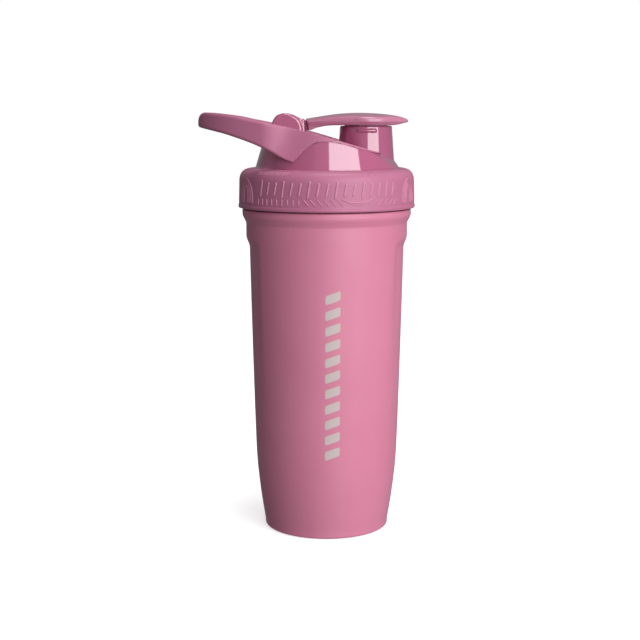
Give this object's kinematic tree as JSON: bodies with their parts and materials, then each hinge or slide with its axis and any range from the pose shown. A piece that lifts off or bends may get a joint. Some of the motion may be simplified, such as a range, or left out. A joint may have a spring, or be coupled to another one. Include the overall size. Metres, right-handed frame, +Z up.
{
  "type": "protein shaker bottle",
  "caption": "Steel shaker cup with pressed side grips and a screw-on lid: carry loop, drinking spout under a hinged flip cap, gasket and mixing strainer.",
  "frame": {"origin": "centre of the cup's flat base, on the surface it stands on", "axes": "+Z up along the cup's axis, +X towards the drinking spout, the carry loop on the -X side"},
  "size_m": [0.1229, 0.1002, 0.2378],
  "materials": {
    "powder_coat": "matte powder coat on stainless steel",
    "matt_plastic": "fine matte grain",
    "satin_plastic": "satin",
    "gloss_plastic": "high gloss",
    "silicone": "matte silicone",
    "steel": "bright drawn pin"
  },
  "bodies": {
    "cup": {"bottle_body": "powder_coat"},
    "mixing_strainer": {"strainer": "gloss_plastic"},
    "gasket": {"lid_gasket": "silicone"},
    "lid": {"lid_collar": "matt_plastic", "lid_dome": "gloss_plastic", "drink_spout": "gloss_plastic", "hinge_ear_front": "gloss_plastic", "hinge_ear_back": "gloss_plastic", "hinge_pin": "steel", "carry_loop": "matt_plastic"},
    "cap": {"flip_cap": "satin_plastic", "cap_seal": "silicone"}
  },
  "joints": [
    {"name": "lid_lift", "type": "slide", "parent": "cup", "child": "mixing_strainer", "axis": [0, 0, 1], "range_m": [0, 0.12]},
    {"name": "thread_rise", "type": "slide", "parent": "mixing_strainer", "child": "gasket", "axis": [0, 0, 1], "range_m": [0, 0.0105]},
    {"name": "lid_twist", "type": "hinge", "parent": "gasket", "child": "lid", "pos_m": [0, 0, 0.1938], "axis": [0, 0, 1], "range_deg": [0, 630]},
    {"name": "flip_cap_hinge", "type": "hinge", "parent": "lid", "child": "cap", "pos_m": [-0.02095, 0, 0.2288], "axis": [0, -1, 0], "range_deg": [0, 130]}
  ],
  "couplings": [
    {"joint": "thread_rise", "follows": "lid_twist", "m_per_rad": 0.00095493}
  ]
}
